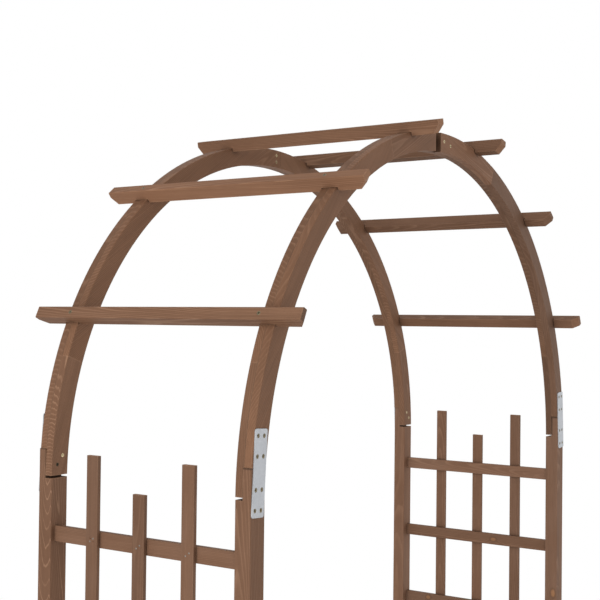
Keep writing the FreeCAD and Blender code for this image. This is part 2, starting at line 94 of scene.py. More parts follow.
def put(tree, kind, inputs=None, **settings):
    node = tree.nodes.new(kind)
    for key, value in settings.items():
        setattr(node, key, value)
    for key, value in (inputs or {}).items():
        feed(tree, node.inputs[key], value)
    return node


def calc(tree, operation, *values):
    return put(tree, "ShaderNodeMath", dict(enumerate(values)), operation=operation).outputs[0]


def vecCalc(tree, operation, *values):
    node = put(tree, "ShaderNodeVectorMath", dict(enumerate(values)), operation=operation)
    return node.outputs["Value" if operation in ("DOT_PRODUCT", "LENGTH") else "Vector"]


def vecScale(tree, vector, factor):
    return put(tree, "ShaderNodeVectorMath", {0: vector, "Scale": factor}, operation="SCALE").outputs[0]


def weighted(tree, first, firstShare, second, secondShare):
    return calc(tree, "ADD", calc(tree, "MULTIPLY", first, firstShare),
                calc(tree, "MULTIPLY", second, secondShare))


def span(tree, value, low, high, outLow=0.0, outHigh=1.0, shape="LINEAR"):
    inputs = {"Value": value, "From Min": low, "From Max": high, "To Min": outLow, "To Max": outHigh}
    return put(tree, "ShaderNodeMapRange", inputs, interpolation_type=shape).outputs[0]


def ease(tree, value, low, high, outLow=0.0, outHigh=1.0):
    return span(tree, value, low, high, outLow, outHigh, "SMOOTHSTEP")


def swing(tree, noise, depth):
    return span(tree, noise, 0, 1, -depth, depth)


# a noise mostly lies between a quarter and three quarters
def noiseLevel(tree, noise, least, most):
    return span(tree, noise, 0.25, 0.75, least, most)


def mixColour(tree, factor, first, second, blend="MIX"):
    node = put(tree, "ShaderNodeMix", data_type="RGBA", blend_type=blend, clamp_factor=True)
    colourSockets = [socket for socket in node.inputs if socket.type == "RGBA"]
    feed(tree, node.inputs[0], factor)
    feed(tree, colourSockets[0], first)
    feed(tree, colourSockets[1], second)
    return [socket for socket in node.outputs if socket.type == "RGBA"][0]


def stretchedNoise(tree, place, stretch, detail=2.0, roughness=0.5):
    scaled = vecCalc(tree, "MULTIPLY", place, stretch)
    inputs = {"Vector": scaled, "Scale": 1.0, "Detail": detail, "Roughness": roughness}
    return put(tree, "ShaderNodeTexNoise", inputs, noise_dimensions="3D").outputs[0]


def lineNoise(tree, along, detail=1.0):
    inputs = {"W": along, "Scale": 1.0, "Detail": detail}
    return put(tree, "ShaderNodeTexNoise", inputs, noise_dimensions="1D").outputs[0]


def newGroup(name, inputs, outputs):
    tree = bpy.data.node_groups.new(name, "ShaderNodeTree")
    for label, kind, value in inputs:
        socket = tree.interface.new_socket(label, in_out="INPUT", socket_type="NodeSocket" + kind)
        if value is not None:
            socket.default_value = value
    for label, kind in outputs:
        tree.interface.new_socket(label, in_out="OUTPUT", socket_type="NodeSocket" + kind)
    given = tree.nodes.new("NodeGroupInput").outputs
    wanted = tree.nodes.new("NodeGroupOutput").inputs
    return tree, given, wanted


def colour(red, green, blue):
    return (red, green, blue, 1.0)


# growth rings round a pith that wanders along the timber; Place has Z along the grain, in metres
grainLook = {
    "seedDrift": (3.1, 5.3, 7.7),          # how far a seed moves the waves, by axis
    "knotStretch": (1.0, 1.0, 0.6),        # a knot is longer along the grain
    "raggedWave": (260.0, 260.0, 160.0), "raggedDepth": 0.0012,
    "knotFade": (1.15, 0.5), "rimOut": (1.5, 1.0), "rimIn": (0.55, 0.95),      # in knot sizes
    "haloFall": -0.16, "bulge": 1.3,       # how the rings swell round a knot
    "wanderWave": 2.4, "wanderSeed": 9.1, "wanderShifts": (0.0, 41.7),
    "broadWave": (30.0, 30.0, 3.6), "broadDepth": 0.0035,
    "fineWave": (160.0, 160.0, 16.0), "fineDepth": 0.0007,
    "ringStep": 1.37, "ringLeast": 0.35,   # some rings are stronger than others
    "lineFull": 0.88, "lineEnd": 0.93,
    "fibre": (900.0, 900.0, 22.0), "blotch": (16.0, 16.0, 6.0), "streak": (110.0, 110.0, 2.2),
}


def makeGrainGroup():
    look = grainLook
    tree, given, wanted = newGroup(
        "timberGrain",
        [("Place", "Vector", None), ("Pith", "Vector", (0.02, 0.0, 0.0)),
         ("Tilt", "Vector", (0.05, 0.02, 0.0)), ("Ring Width", "Float", 0.0032),
         ("Line Start", "Float", 0.45), ("Waves", "Float", 1.0),
         ("Wander", "Float", 0.012), ("Seed", "Float", 0.0),
         ("Knot Place", "Vector", (0.0, 0.0, 9.0)), ("Knot Aim", "Vector", (1.0, 0.0, 0.0)),
         ("Knot Size", "Float", 0.006)],
        [("Line", "Float"), ("Fibre", "Float"), ("Blotch", "Float"), ("Streak", "Float"), ("Knot", "Float"),
         ("Rim", "Float")])
    seed = given["Seed"]
    steps = {axis: calc(tree, "MULTIPLY", seed, step) for axis, step in enumerate(look["seedDrift"])}
    drift = put(tree, "ShaderNodeCombineXYZ", steps).outputs[0]
    place = vecCalc(tree, "ADD", given["Place"], drift)
    height = put(tree, "ShaderNodeSeparateXYZ", {0: given["Place"]}).outputs[2]

    # knot: a rod across the grain, with rings pushed round it
    away = vecCalc(tree, "SUBTRACT", given["Place"], given["Knot Place"])
    away = vecCalc(tree, "MULTIPLY", away, look["knotStretch"])
    along = vecCalc(tree, "DOT_PRODUCT", away, given["Knot Aim"])
    alongAim = vecScale(tree, given["Knot Aim"], along)
    across = vecCalc(tree, "LENGTH", vecCalc(tree, "SUBTRACT", away, alongAim))
    ragged = swing(tree, stretchedNoise(tree, place, look["raggedWave"]), look["raggedDepth"])
    reach = calc(tree, "DIVIDE", calc(tree, "ADD", across, ragged), given["Knot Size"])
    knot = ease(tree, reach, *look["knotFade"])
    rim = calc(tree, "MULTIPLY", ease(tree, reach, *look["rimOut"]), ease(tree, reach, *look["rimIn"]))
    fall = calc(tree, "MULTIPLY", calc(tree, "MULTIPLY", reach, reach), look["haloFall"])
    halo = calc(tree, "EXPONENT", fall)
    bulge = calc(tree, "MULTIPLY", calc(tree, "MULTIPLY", halo, given["Knot Size"]), look["bulge"])

    # distance from the pith, with slow and fine waves
    lean = vecScale(tree, given["Tilt"], height)
    sway = []
    for shift in look["wanderShifts"]:
        start = calc(tree, "ADD", calc(tree, "MULTIPLY", seed, look["wanderSeed"]), shift)
        slow = lineNoise(tree, calc(tree, "ADD", calc(tree, "MULTIPLY", height, look["wanderWave"]), start))
        sway.append(calc(tree, "MULTIPLY", calc(tree, "SUBTRACT", slow, 0.5), given["Wander"]))
    wander = put(tree, "ShaderNodeCombineXYZ", {0: sway[0], 1: sway[1]}).outputs[0]
    fromPith = vecCalc(tree, "SUBTRACT", given["Place"], given["Pith"])
    fromPith = vecCalc(tree, "ADD", vecCalc(tree, "ADD", fromPith, lean), wander)
    radius = vecCalc(tree, "LENGTH", vecCalc(tree, "MULTIPLY", fromPith, (1.0, 1.0, 0.0)))
    broad = swing(tree, stretchedNoise(tree, place, look["broadWave"]), look["broadDepth"])
    fine = swing(tree, stretchedNoise(tree, place, look["fineWave"]), look["fineDepth"])
    radius = calc(tree, "ADD", radius, calc(tree, "MULTIPLY", broad, given["Waves"]))
    radius = calc(tree, "ADD", radius, fine)
    radius = calc(tree, "SUBTRACT", radius, bulge)
    phase = calc(tree, "DIVIDE", radius, given["Ring Width"])

    # a thin hard line closes each ring
    part = calc(tree, "FRACT", phase)
    ring = calc(tree, "MULTIPLY", calc(tree, "FLOOR", phase), look["ringStep"])
    strength = noiseLevel(tree, lineNoise(tree, calc(tree, "ADD", ring, seed), 0.0), look["ringLeast"], 1.0)
    line = calc(tree, "MULTIPLY", ease(tree, part, given["Line Start"], look["lineFull"]),
                ease(tree, part, 1.0, look["lineEnd"]))
    feed(tree, wanted["Line"], calc(tree, "MULTIPLY", line, strength))
    feed(tree, wanted["Fibre"], stretchedNoise(tree, place, look["fibre"], 3.0, 0.6))
    feed(tree, wanted["Blotch"], stretchedNoise(tree, place, look["blotch"], 3.0, 0.55))
    feed(tree, wanted["Streak"], stretchedNoise(tree, place, look["streak"], 2.0, 0.55))
    feed(tree, wanted["Knot"], knot)
    feed(tree, wanted["Rim"], rim)
    return tree


# rubbed arrises, sawn ends where the face looks along the grain, painted shade in corners and recesses, and
# dark lines at joints that are partly painted shadow of open joints
cutsLook = {
    "bevelSamples": 6, "turnFade": (0.03, 0.2),
    "patchWave": (55.0, 55.0, 18.0), "patchFade": (0.3, 0.65), "patchLeast": 0.25,
    "endFade": (0.3, 0.75),
    "cornerReach": 0.045, "cornerSamples": 8, "cornerFade": (0.78, 0.25),
    "layerFade": (0.0011, 0.0003), "topFade": (0.0022, 0.0008),
    "fillerWave": (70.0, 70.0, 14.0), "fillerFade": (0.3, 0.7),
}


def makeCutsGroup():
    look = cutsLook
    tree, given, wanted = newGroup(
        "arrisesAndCuts",
        [("Place", "Vector", None), ("Grain", "Vector", (0.0, 0.0, 1.0)), ("Width", "Float", 0.0045),
         ("Spot", "Vector", None), ("Joint Layer", "Float", 9.0), ("Joint Foot", "Float", 0.0),
         ("Joint Top", "Float", 9.0), ("Layer Width", "Float", 1.0), ("Layer Least", "Float", 0.35),
         ("Top Width", "Float", 1.0)],
        [("Edge", "Float"), ("End", "Float"), ("Painted Shade And Joints", "Float")])
    facing = put(tree, "ShaderNodeNewGeometry").outputs
    soft = put(tree, "ShaderNodeBevel", {"Radius": given["Width"]}, samples=look["bevelSamples"]).outputs[0]
    turn = calc(tree, "SUBTRACT", 1.0, vecCalc(tree, "DOT_PRODUCT", soft, facing["Normal"]))
    patchy = stretchedNoise(tree, given["Place"], look["patchWave"], 3.0, 0.6)
    patchy = ease(tree, patchy, *look["patchFade"], look["patchLeast"], 1.0)
    feed(tree, wanted["Edge"], calc(tree, "MULTIPLY", ease(tree, turn, *look["turnFade"]), patchy))
    lookAlong = calc(tree, "ABSOLUTE", vecCalc(tree, "DOT_PRODUCT", facing["True Normal"], given["Grain"]))
    feed(tree, wanted["End"], ease(tree, lookAlong, *look["endFade"]))
    # painted shade: ambient occlusion darkens corners and recesses
    clear = put(tree, "ShaderNodeAmbientOcclusion", {"Distance": look["cornerReach"]},
                samples=look["cornerSamples"]).outputs["AO"]
    corner = ease(tree, clear, *look["cornerFade"])

    # dark hairlines where two layers are glued and where a tongue ends, partly painted shadow of an open
    # joint; Spot is in the frame's own axes
    spot = put(tree, "ShaderNodeSeparateXYZ", {0: given["Spot"]}).outputs
    offLayer = calc(tree, "SUBTRACT", calc(tree, "ABSOLUTE", spot[1]), given["Joint Layer"])
    offLayer = calc(tree, "DIVIDE", calc(tree, "ABSOLUTE", offLayer), given["Layer Width"])
    layerLine = calc(tree, "MULTIPLY", ease(tree, offLayer, *look["layerFade"]),
                     calc(tree, "GREATER_THAN", spot[2], given["Joint Foot"]))
    underTop = calc(tree, "SUBTRACT", given["Joint Top"], spot[2])
    topLine = ease(tree, calc(tree, "DIVIDE", underTop, given["Top Width"]), *look["topFade"])
    filled = stretchedNoise(tree, given["Place"], look["fillerWave"])
    filled = ease(tree, filled, *look["fillerFade"], given["Layer Least"], 1.0)
    joint = calc(tree, "MAXIMUM", calc(tree, "MULTIPLY", layerLine, filled), topLine)
    feed(tree, wanted["Painted Shade And Joints"], calc(tree, "MAXIMUM", corner, joint))
    return tree


# brown glaze on softwood: the soft wood takes it darker, the hard ring lines stay lighter
stain = {
    "soft": colour(0.180, 0.0895, 0.0495),
    "hard": colour(0.345, 0.193, 0.114),
    "grey": colour(0.198, 0.127, 0.092),
    "knotCore": colour(0.320, 0.155, 0.072),
    "knotRim": colour(0.070, 0.032, 0.018),
    "rubbed": colour(0.350, 0.200, 0.120),
    "sawn": colour(0.420, 0.205, 0.105),
    "shadeAndJointDark": colour(0.050, 0.027, 0.017),
    "greyFade": (0.3, 0.7), "greyLeast": 0.3,
    "wornShare": 0.55, "knotShare": 0.85, "rimShare": 0.35, "shadeAndJointShare": 0.75,
    "fibreLevel": (0.93, 1.07), "blotchLevel": (0.90, 1.10), "streakLevel": (0.93, 1.07),
    "fibreRelief": 0.6, "lineRelief": 0.5,
    "dryness": (-0.3, 0.8), "roughLow": 0.50, "roughHigh": 0.68,
}


def makeStainGroup():
    tree, given, wanted = newGroup(
        "brownGlaze",
        [("Line", "Float", 0.0), ("Fibre", "Float", 0.5), ("Blotch", "Float", 0.5),
         ("Streak", "Float", 0.5), ("Knot", "Float", 0.0), ("Rim", "Float", 0.0),
         ("Edge", "Float", 0.0), ("End", "Float", 0.0),
         ("Painted Shade And Joints", "Float", 0.0), ("Tone", "Float", 1.0), ("Contrast", "Float", 0.6),
         ("Grey", "Float", 0.2), ("Sawn", "Float", 0.6), ("End Shade Tone", "Float", 1.0)],
        [("Color", "Color"), ("Roughness", "Float"), ("Height", "Float")])
    lines = calc(tree, "MULTIPLY", given["Line"], given["Contrast"])
    shade = mixColour(tree, lines, stain["soft"], stain["hard"])
    greyPatch = ease(tree, given["Blotch"], *stain["greyFade"], stain["greyLeast"], 1.0)
    shade = mixColour(tree, calc(tree, "MULTIPLY", given["Grey"], greyPatch), shade, stain["grey"])
    layers = (("Edge", stain["wornShare"], "rubbed"), ("End", given["Sawn"], "sawn"),
              ("Knot", stain["knotShare"], "knotCore"), ("Rim", stain["rimShare"], "knotRim"))
    for mask, share, tint in layers:
        shade = mixColour(tree, calc(tree, "MULTIPLY", given[mask], share), shade, stain[tint])
    level = noiseLevel(tree, given["Fibre"], *stain["fibreLevel"])
    level = calc(tree, "MULTIPLY", level, noiseLevel(tree, given["Blotch"], *stain["blotchLevel"]))
    level = calc(tree, "MULTIPLY", level, noiseLevel(tree, given["Streak"], *stain["streakLevel"]))
    level = calc(tree, "MULTIPLY", level, given["Tone"])
    # painted shade: end faces of some pieces are darkened as if in shadow
    endShadeLoss = calc(tree, "MULTIPLY", given["End"], calc(tree, "SUBTRACT", 1.0, given["End Shade Tone"]))
    level = calc(tree, "MULTIPLY", level, calc(tree, "SUBTRACT", 1.0, endShadeLoss))
    grey = put(tree, "ShaderNodeCombineColor", {0: level, 1: level, 2: level}).outputs[0]
    shade = mixColour(tree, 1.0, shade, grey, "MULTIPLY")
    # painted shade: corners, recesses and joint lines are mixed towards a dark brown
    shadeAndJointMix = calc(tree, "MULTIPLY", given["Painted Shade And Joints"], stain["shadeAndJointShare"])
    feed(tree, wanted["Color"], mixColour(tree, shadeAndJointMix, shade, stain["shadeAndJointDark"]))
    dryness = calc(tree, "SUBTRACT", given["Fibre"], lines)
    rough = span(tree, dryness, *stain["dryness"], stain["roughLow"], stain["roughHigh"])
    feed(tree, wanted["Roughness"], rough)
    relief = weighted(tree, given["Fibre"], stain["fibreRelief"], given["Line"], stain["lineRelief"])
    feed(tree, wanted["Height"], relief)
    return tree


grainGroup = makeGrainGroup()
cutsGroup = makeCutsGroup()
stainGroup = makeStainGroup()


def placeGroup(tree, group, inputs):
    node = put(tree, "ShaderNodeGroup", node_tree=group)
    for key, value in inputs.items():
        feed(tree, node.inputs[key], value)
    return node.outputs


def blankMaterial(name, specular):
    material = bpy.data.materials.new(name)
    material.use_nodes = True
    shader = material.node_tree.nodes["Principled BSDF"]
    shader.inputs["Specular IOR Level"].default_value = specular
    return material, material.node_tree, shader


def addBump(tree, shader, height, values):
    bump = put(tree, "ShaderNodeBump", {"Height": height, "Strength": values["bumpStrength"],
                                        "Distance": values["bumpDepth"]})
    feed(tree, shader.inputs["Normal"], bump.outputs[0])


def coat(piece, material):
    piece.data.materials.clear()
    piece.data.materials.append(material)


# what each kind of timber is like; pairs are the least and the most, drawn in turn from one seed
timberKinds = {
    "post": {"ringWidth": 0.0036, "contrast": 0.42, "grey": (0.15, 0.45), "sawn": 0.5, "knotShare": 0.5},
    "arch": {"ringWidth": 0.0034, "contrast": 0.42, "grey": (0.0, 0.12), "sawn": 0.15, "knotShare": 0.25},
    "slat": {"ringWidth": 0.0030, "contrast": 0.55, "grey": (0.05, 0.2), "sawn": 0.15, "knotShare": 0.2},
    "rail": {"ringWidth": 0.0028, "contrast": 0.45, "grey": (0.15, 0.45), "sawn": 0.5, "knotShare": 0.3},
    "pale": {"ringWidth": 0.0028, "contrast": 0.38, "grey": (0.15, 0.45), "sawn": 0.7, "knotShare": 0.2},
}
timber = {
    "seed": 47,
    "pithDepth": (0.014, 0.045), "tilt": (-0.05, 0.05), "tone": (0.93, 1.07), "contrastVary": (0.7, 1.25),
    "knotPlace": (-0.4, 0.4), "knotSize": (0.004, 0.008), "waveSeed": (0, 20),
    "plainJoint": {"layerWidth": 1.0, "layerLeast": 0.35, "topWidth": 1.0},    # a tongue's dark lines
    "jointLayer": 0.2405,    # plane between the two layers of an arch
    "tongueFoot": 1.455,
    "tongueTop": 1.507,
    "bumpDepth": 0.0004,
    "bumpStrength": 0.35,
    "specular": 0.16,
}

# pieces that the photo shows as lighter, darker or more figured than the rest
timberChanges = {
    "post_rear_left": {"pith": (0.068, 0.001), "tilt": (0.11, 0.01), "contrast": 0.85, "knot": None,
                       "lineStart": 0.80, "waves": 0.4},
    "post_front_left": {"topWidth": 1.7},
    "post_front_right": {"tone": 1.05, "knot": ((-0.02, -0.007, 0.263), (1.0, 0.0, 0.0), 0.0075),
                         "layerWidth": 4.0, "layerLeast": 1.0, "topWidth": 3.2},
    "post_rear_right": {"tone": 1.20, "contrast": 0.28},
    "pale_right_middle": {"tone": 1.08},
    "pale_left_rear": {"tone": 0.95},
    "pale_left_middle": {"tone": 0.92},
    "rail_left_1": {"tone": 1.08},
    "rail_right_1": {"tone": 1.24},
    "rail_right_2": {"knot": ((-0.006, 0.0, -0.058), (1.0, 0.0, 0.0), 0.006)},
    # the end tones below darken end faces as painted shade
    "slat_left_low": {"tone": 1.13, "endShadeTone": 0.55},
    # painted light: the high tone lightens this slat as if lit more from low down
    "slat_left_middle": {"tone": 1.40, "grey": 0.0, "knot": None},
    "slat_left_top": {"tone": 1.12, "grey": 0.05, "sawn": 0.4},
    "slat_right_middle": {"tone": 1.0, "endShadeTone": 0.8},
    # painted shade: the low tone darkens this slat as if in shade
    "slat_right_top": {"tone": 0.84, "sawn": 0.5},
    "arch_rear_left_inner_lower": {"tone": 1.14, "grey": 0.1, "pith": (0.03, 0.0), "tilt": (0.0, 0.0),
                                   "ringWidth": 0.0018, "contrast": 0.8, "lineStart": 0.6, "waves": 0.3,
                                   "knot": None},
    "arch_rear_left_inner_upper": {"tone": 1.12, "grey": 0.0},
    "arch_rear_right_inner_lower": {"tone": 1.10},
    "arch_rear_right_inner_upper": {"tone": 1.14},
    "arch_front_left_outer_upper": {"tone": 1.08, "grey": 0.0},
    "arch_front_left_outer_lower": {"tone": 1.16, "grey": 0.0},
    "arch_front_right_outer_upper": {"tone": 1.30, "grey": 0.05, "endShadeTone": 0.35},
    "arch_front_right_outer_lower": {"tone": 0.90, "grey": 0.35},
    "arch_front_right_inner_upper": {"tone": 0.90, "grey": 0.25},
    # painted shade: the low tone darkens this board as if in shade
    "arch_front_right_inner_lower": {"tone": 0.74, "grey": 0.25},
}


def grainDirection(name, low, high):
    kind = name.split("_")[0]
    if kind in ("post", "pale"):
        return Vector((0, 0, 1))
    if kind in ("rail", "slat"):
        return Vector((0, 1, 0))
    run = high - low
    return Vector((run.x if "_left_" in name else -run.x, 0, run.z)).normalized()


# every piece takes the same draws in the same order, whether its own values replace them or not
def drawTimber(kind, length, dice):
    heart = dice.uniform(0, 2 * math.pi)
    depth = dice.uniform(*timber["pithDepth"])
    drawn = {"ringWidth": kind["ringWidth"], "sawn": kind["sawn"], "endShadeTone": 1.0, **timber["plainJoint"]}
    drawn["pith"] = (depth * math.cos(heart), depth * math.sin(heart))
    drawn["tilt"] = (dice.uniform(*timber["tilt"]), dice.uniform(*timber["tilt"]))
    drawn["tone"] = dice.uniform(*timber["tone"])
    drawn["grey"] = dice.uniform(*kind["grey"])
    drawn["contrast"] = kind["contrast"] * dice.uniform(*timber["contrastVary"])
    knotHeight = dice.uniform(*timber["knotPlace"]) * length
    knotSide = dice.uniform(0, 2 * math.pi)
    knotSize = dice.uniform(*timber["knotSize"])
    hasKnot = dice.random() < kind["knotShare"]
    aim = Vector((math.cos(knotSide), math.sin(knotSide), 0))
    drawn["knot"] = (Vector((0, 0, knotHeight)), aim, knotSize) if hasKnot else None
    drawn["waveSeed"] = dice.uniform(*timber["waveSeed"])
    return drawn


def dressTimber(name, piece, dice):
    kind = timberKinds[name.split("_")[0]]
    low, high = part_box(name)
    middle = (low + high) / 2
    grain = grainDirection(name, low, high)
    turn = grain.rotation_difference(Vector((0, 0, 1))).to_euler()
    shift = -(turn.to_matrix() @ middle)
    look = drawTimber(kind, (high - low).length, dice)
    look.update(timberChanges.get(name, {}))

    material, tree, shader = blankMaterial("stained_" + name, timber["specular"])
    coords = put(tree, "ShaderNodeTexCoord").outputs["Object"]
    mapping = put(tree, "ShaderNodeMapping", {"Vector": coords, "Location": shift, "Rotation": turn})
    grainIn = {"Place": mapping.outputs[0], "Pith": (*look["pith"], 0.0), "Tilt": (*look["tilt"], 0.0),
               "Ring Width": look["ringWidth"], "Seed": look["waveSeed"]}
    if "lineStart" in look:
        grainIn.update({"Line Start": look["lineStart"], "Waves": look["waves"]})
    if look["knot"]:
        grainIn.update(zip(("Knot Place", "Knot Aim", "Knot Size"), look["knot"]))
    masks = placeGroup(tree, grainGroup, grainIn)
    cutsIn = {"Place": mapping.outputs[0], "Grain": grain, "Spot": coords}
    if name.startswith(("post", "arch")):
        cutsIn["Joint Layer"] = timber["jointLayer"]
    if name.startswith("post"):
        cutsIn.update({"Joint Foot": timber["tongueFoot"], "Joint Top": timber["tongueTop"],
                       "Layer Width": look["layerWidth"], "Layer Least": look["layerLeast"],
                       "Top Width": look["topWidth"]})
    cuts = placeGroup(tree, cutsGroup, cutsIn)
    stainIn = {key: masks[key] for key in ("Line", "Fibre", "Blotch", "Streak", "Knot", "Rim")}
    stainIn.update({key: cuts[key] for key in ("Edge", "End", "Painted Shade And Joints")})
    stainIn.update({"Tone": look["tone"], "Contrast": look["contrast"], "Grey": look["grey"],
                    "Sawn": look["sawn"], "End Shade Tone": look["endShadeTone"]})
    finish = placeGroup(tree, stainGroup, stainIn)
    feed(tree, shader.inputs["Base Color"], finish["Color"])
    feed(tree, shader.inputs["Roughness"], finish["Roughness"])
    addBump(tree, shader, finish["Height"], timber)
    coat(piece, material)


timberDice = random.Random(timber["seed"])
timberNames = sorted(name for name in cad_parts
                     if name.split("_")[0] in timberKinds and not name.endswith(("screws", "nails")))
for name in timberNames:
    dressTimber(name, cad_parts[name], timberDice)
print("timber stained:", len(timberNames), "pieces")

# mending plates: dull zinc with faint crystals and small scratches
zinc = {
    "dark": colour(0.425, 0.438, 0.460),
    "light": colour(0.450, 0.463, 0.485),
    "edge": colour(0.57, 0.58, 0.60),
    "crystal": 320.0, "cloud": (60.0, 60.0, 35.0), "scratch": (1400.0, 300.0, 60.0),
    "crystalShare": 0.2, "cloudShare": 0.8, "blendFade": (0.2, 0.8),
    "edgeWidth": 0.0012, "edgeShare": 0.6,
    "metallic": 0.75, "specular": 0.5, "roughLow": 0.50, "roughHigh": 0.60,
    "scratchRelief": 0.5, "cloudRelief": 0.5, "bumpStrength": 0.06, "bumpDepth": 0.0003,
}


def makeZinc():
    material, tree, shader = blankMaterial("zincPlate", zinc["specular"])
    coords = put(tree, "ShaderNodeTexCoord").outputs["Object"]
    cells = put(tree, "ShaderNodeTexVoronoi", {"Vector": coords, "Scale": zinc["crystal"]})
    cellShade = put(tree, "ShaderNodeSeparateColor", {0: cells.outputs["Color"]}).outputs[0]
    cloud = stretchedNoise(tree, coords, zinc["cloud"], 4.0, 0.6)
    scratch = stretchedNoise(tree, coords, zinc["scratch"], 2.0, 0.7)
    blend = weighted(tree, cellShade, zinc["crystalShare"], cloud, zinc["cloudShare"])
    shade = mixColour(tree, ease(tree, blend, *zinc["blendFade"]), zinc["dark"], zinc["light"])
    cuts = placeGroup(tree, cutsGroup, {"Place": coords, "Width": zinc["edgeWidth"]})
    shade = mixColour(tree, calc(tree, "MULTIPLY", cuts["Edge"], zinc["edgeShare"]), shade, zinc["edge"])
    feed(tree, shader.inputs["Base Color"], shade)
    shader.inputs["Metallic"].default_value = zinc["metallic"]
    rough = span(tree, blend, *zinc["blendFade"], zinc["roughHigh"], zinc["roughLow"])
    feed(tree, shader.inputs["Roughness"], rough)
    height = weighted(tree, scratch, zinc["scratchRelief"], cloud, zinc["cloudRelief"])
    addBump(tree, shader, height, zinc)
    return material


zincPlate = makeZinc()
plateNames = [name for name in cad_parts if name.startswith("plate_") and name != "plate_screws"]
for name in plateNames:
    coat(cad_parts[name], zincPlate)
print("plates finished:", len(plateNames))


# screws and brads: one recipe with its own colours for each metal; heads marked as darkened are coloured
# near black
metalLook = {
    "cloud": (700.0, 700.0, 700.0), "cloudFade": (0.3, 0.7), "grit": (2600.0, 2600.0, 2600.0),
    "specular": 0.5, "bumpStrength": 0.15, "bumpDepth": 0.0001,
    "nearBlack": colour(0.022, 0.017, 0.012), "nearBlackShare": 0.95,
}
fastenerMetals = {
    "bronzeZincScrew": {"dark": colour(0.10, 0.080, 0.050), "light": colour(0.30, 0.25, 0.16),
                        "roughLow": 0.30, "roughHigh": 0.52},
    "yellowZincScrew": {"dark": colour(0.26, 0.20, 0.11), "light": colour(0.58, 0.48, 0.30),
                        "roughLow": 0.26, "roughHigh": 0.46},
    "dullSteelBrad": {"dark": colour(0.12, 0.105, 0.09), "light": colour(0.30, 0.27, 0.24),
                      "roughLow": 0.30, "roughHigh": 0.48},
}


def makeFastenerMetal(name, values):
    material, tree, shader = blankMaterial(name, metalLook["specular"])
    coords = put(tree, "ShaderNodeTexCoord").outputs["Object"]
    cloud = stretchedNoise(tree, coords, metalLook["cloud"], 3.0, 0.6)
    shade = mixColour(tree, ease(tree, cloud, *metalLook["cloudFade"]), values["dark"], values["light"])
    # heads marked in the point attribute are coloured near black
    mark = put(tree, "ShaderNodeAttribute", attribute_name="darkened").outputs["Fac"]
    share = calc(tree, "MULTIPLY", mark, metalLook["nearBlackShare"])
    feed(tree, shader.inputs["Base Color"], mixColour(tree, share, shade, metalLook["nearBlack"]))
    shader.inputs["Metallic"].default_value = 1.0
    rough = span(tree, cloud, *metalLook["cloudFade"], values["roughHigh"], values["roughLow"])
    feed(tree, shader.inputs["Roughness"], rough)
    addBump(tree, shader, stretchedNoise(tree, coords, metalLook["grit"]), metalLook)
    return material


metals = {name: makeFastenerMetal(name, values) for name, values in fastenerMetals.items()}


# fastener tree: a turned profile on every point, along the point's own axis, with a cross recess if wanted
headShape = {
    "shoulder": 0.6, "shoulderRise": 0.75,      # shares of the head's radius and of its dome
    "crest": 0.96, "rimTurn": -0.3,
    "weld": 1e-6,
}


# radius and height of each row, from the middle of the head to the tip
def fastenerProfile(tree, given):
    headRadius = calc(tree, "MULTIPLY", given["Head Width"], 0.5)
    shankRadius = calc(tree, "MULTIPLY", given["Shank Width"], 0.5)
    shoulder = calc(tree, "MULTIPLY", headRadius, headShape["shoulder"])
    length = calc(tree, "MULTIPLY", given["Length"], -1.0)
    return [
        (0.0, given["Dome"]),
        (shoulder, calc(tree, "MULTIPLY", given["Dome"], headShape["shoulderRise"])),
        (calc(tree, "MULTIPLY", headRadius, headShape["crest"]), 0.0),
        (headRadius, calc(tree, "MULTIPLY", given["Rim"], headShape["rimTurn"])),
        (headRadius, calc(tree, "MULTIPLY", given["Rim"], -1.0)),
        (shankRadius, calc(tree, "MULTIPLY", given["Head Depth"], -1.0)),
        (shankRadius, calc(tree, "ADD", length, given["Point"])),
        (0.0, length),
    ]


def indexSwitch(tree, index, values):
    node = put(tree, "GeometryNodeIndexSwitch", data_type="FLOAT")
    while len(node.index_switch_items) < len(values):
        node.index_switch_items.new()
    feed(tree, node.inputs[0], index)
    for socket, value in zip(node.inputs[1:], values):
        feed(tree, socket, value)
    return node.outputs[0]


